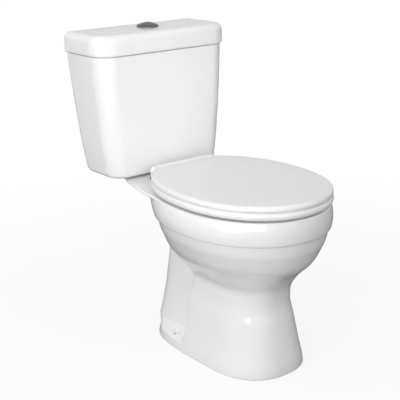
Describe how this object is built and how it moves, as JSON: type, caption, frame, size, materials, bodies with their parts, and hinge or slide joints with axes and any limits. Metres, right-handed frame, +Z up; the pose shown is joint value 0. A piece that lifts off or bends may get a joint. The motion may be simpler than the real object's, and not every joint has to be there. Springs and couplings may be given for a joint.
{
  "type": "close coupled toilet",
  "caption": "Floor-standing close coupled toilet with hinged oval seat and cover, tapered cistern, lift-off lid and dual flush push button.",
  "frame": {"origin": "on the floor, midway across the width and midway between the wall face and the front of the seat", "axes": "+X to the right seen from the front, -Y to the front, +Z up"},
  "size_m": [0.4, 0.677, 0.782],
  "materials": {
    "glazed_china": "clear gloss glaze",
    "seat_plastic": "polished moulding",
    "soft_white": "soft buffer",
    "chrome_plate": "polished plate",
    "steel_wire": "drawn wire",
    "white_plastic": "moulded",
    "blue_plastic": "moulded",
    "rubber": "moulded",
    "brass": "turned"
  },
  "bodies": {
    "toilet": {"pan": "glazed_china", "cistern_tank": "glazed_china", "left_hinge_post": "chrome_plate", "right_hinge_post": "chrome_plate", "left_hinge_pin": "chrome_plate", "right_hinge_pin": "chrome_plate", "seat_bolts": "white_plastic", "seat_bolt_washers": "rubber", "seat_wing_nuts": "white_plastic", "coupling_gasket": "rubber", "coupling_bolts": "brass", "coupling_seals": "rubber", "coupling_washers": "brass", "coupling_wing_nuts": "brass", "flush_valve_base": "white_plastic", "flush_valve_washer": "rubber", "flush_valve_nut": "white_plastic", "flush_valve_tower": "blue_plastic", "lever_pin": "steel_wire", "fill_valve_shank": "white_plastic", "fill_valve_washer": "rubber", "fill_valve_nut": "white_plastic", "inlet_filter": "white_plastic", "fill_valve_riser": "white_plastic", "fill_valve_head": "blue_plastic", "float_arm_pin": "steel_wire"},
    "seat": {"seat_ring": "seat_plastic", "ring_buffers": "soft_white"},
    "cover": {"seat_cover": "seat_plastic", "cover_buffers": "soft_white"},
    "lid": {"cistern_lid": "glazed_china", "button_bezel": "chrome_plate", "button_nut": "white_plastic", "full_button_spring": "steel_wire", "half_button_spring": "steel_wire"},
    "full_button": {"full_flush_button": "chrome_plate", "full_flush_rod": "white_plastic"},
    "half_button": {"half_flush_button": "chrome_plate", "half_flush_rod": "white_plastic"},
    "full_lever": {"full_flush_lever": "white_plastic"},
    "half_lever": {"half_flush_lever": "blue_plastic"},
    "valve": {"overflow_tube": "white_plastic", "flush_seal": "rubber", "lift_link": "white_plastic"},
    "half_link": {"half_flush_link": "white_plastic", "half_flush_float": "white_plastic"},
    "float": {"float_cup": "white_plastic", "float_link": "white_plastic"},
    "float_arm": {"float_arm": "white_plastic"}
  },
  "joints": [
    {"name": "seat_hinge", "type": "hinge", "parent": "toilet", "child": "seat", "pos_m": [0, 0.122, 0.424], "axis": [1, 0, 0], "range_deg": [-93, 0]},
    {"name": "cover_hinge", "type": "hinge", "parent": "seat", "child": "cover", "pos_m": [0, 0.122, 0.424], "axis": [-1, 0, 0], "range_deg": [0, 93]},
    {"name": "lid_lift", "type": "slide", "parent": "toilet", "child": "lid", "axis": [0, 0, 1], "range_m": [0, 0.06]},
    {"name": "full_button_press", "type": "slide", "parent": "lid", "child": "full_button", "axis": [0, 0, -1], "range_m": [0, 0.007], "stiffness_N_per_m": 250, "springref_m": -0.012, "deforming": ["full_button_spring"]},
    {"name": "half_button_press", "type": "slide", "parent": "lid", "child": "half_button", "axis": [0, 0, -1], "range_m": [0, 0.007], "stiffness_N_per_m": 250, "springref_m": -0.012, "deforming": ["half_button_spring"]},
    {"name": "full_lever_pivot", "type": "hinge", "parent": "toilet", "child": "full_lever", "pos_m": [0, 0.2495, 0.705], "axis": [0, 1, 0], "range_deg": [0, 36.1]},
    {"name": "half_lever_pivot", "type": "hinge", "parent": "toilet", "child": "half_lever", "pos_m": [0, 0.2585, 0.705], "axis": [0, -1, 0], "range_deg": [0, 36.1]},
    {"name": "valve_lift", "type": "slide", "parent": "toilet", "child": "valve", "axis": [0, 0, 1], "range_m": [0, 0.0157]},
    {"name": "half_link_lift", "type": "slide", "parent": "toilet", "child": "half_link", "axis": [0, 0, 1], "range_m": [0, 0.0157]},
    {"name": "float_rise", "type": "slide", "parent": "toilet", "child": "float", "axis": [0, 0, 1], "range_m": [0, 0.014]},
    {"name": "float_arm_pivot", "type": "hinge", "parent": "toilet", "child": "float_arm", "pos_m": [0.103, 0.254, 0.69], "axis": [0, -1, 0], "range_deg": [0, 22.1]}
  ],
  "couplings": [
    {"joint": "full_lever_pivot", "follows": "full_button_press", "rad_per_m": 89.76},
    {"joint": "valve_lift", "follows": "full_button_press", "ratio": 2.2286},
    {"joint": "half_lever_pivot", "follows": "half_button_press", "rad_per_m": 89.76},
    {"joint": "half_link_lift", "follows": "half_button_press", "ratio": 2.2286},
    {"joint": "float_arm_pivot", "follows": "float_rise", "rad_per_m": 27.427}
  ]
}
